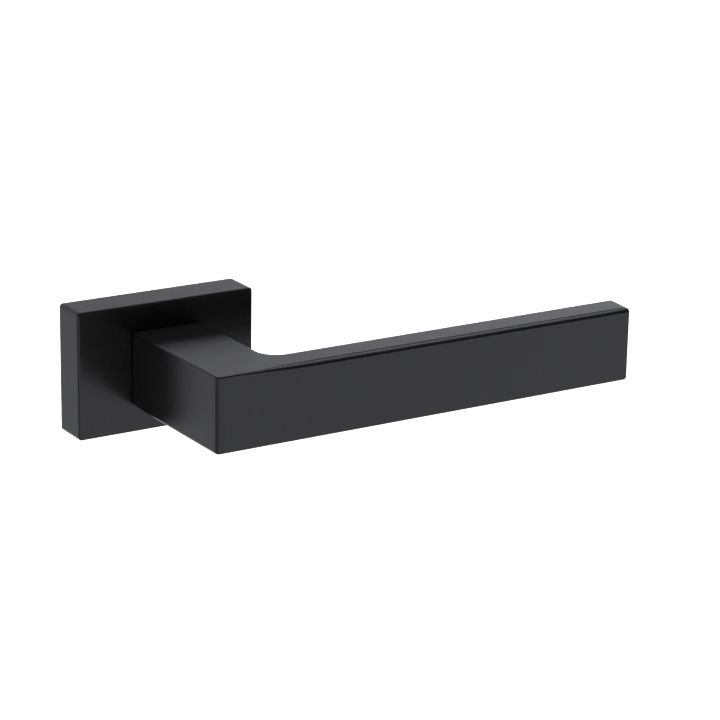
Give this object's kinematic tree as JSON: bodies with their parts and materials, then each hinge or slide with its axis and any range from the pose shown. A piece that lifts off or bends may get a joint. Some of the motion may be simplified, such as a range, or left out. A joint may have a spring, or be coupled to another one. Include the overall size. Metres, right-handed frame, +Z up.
{
  "type": "door lever handle",
  "caption": "Satin black door lever handle: a flat-bar lever with a square neck on a slim rectangular rose, spring-loaded, with a square spindle and wood-screw fixing.",
  "frame": {"origin": "on the spindle axis, in the plane of the door's face (the rose's back face)", "axes": "+Y into the door along the spindle, +X along the lever towards its free end, +Z up"},
  "size_m": [0.1494, 0.0914, 0.036],
  "materials": {
    "black_coat": "satin",
    "cast_zinc": "matte",
    "plated_steel": "satin",
    "spring_steel": "satin",
    "white_acetal": "satin",
    "black_nylon": "matte"
  },
  "bodies": {
    "rose": {"rose_cover": "black_coat", "backing_plate": "plated_steel", "return_spring": "spring_steel", "cover_clip_left": "spring_steel", "cover_clip_right": "spring_steel", "mounting_plate": "cast_zinc", "hub_bush": "white_acetal", "cover_ring": "black_nylon", "fixing_screw_left": "plated_steel", "fixing_screw_right": "plated_steel", "backing_screw_1": "plated_steel", "backing_screw_2": "plated_steel", "backing_screw_3": "plated_steel", "backing_screw_4": "plated_steel"},
    "lever": {"lever": "black_coat", "spindle": "plated_steel", "grub_screw": "spring_steel", "spring_rotor": "cast_zinc", "thrust_washer": "white_acetal", "wave_washer": "spring_steel", "retaining_ring": "spring_steel"}
  },
  "joints": [
    {"name": "lever_turn", "type": "hinge", "parent": "rose", "child": "lever", "pos_m": [0, 0, 0], "axis": [0, 1, 0], "range_deg": [0, 45], "stiffness_Nm_per_rad": 0.6, "springref_deg": -34.38, "deforming": ["return_spring"]}
  ]
}
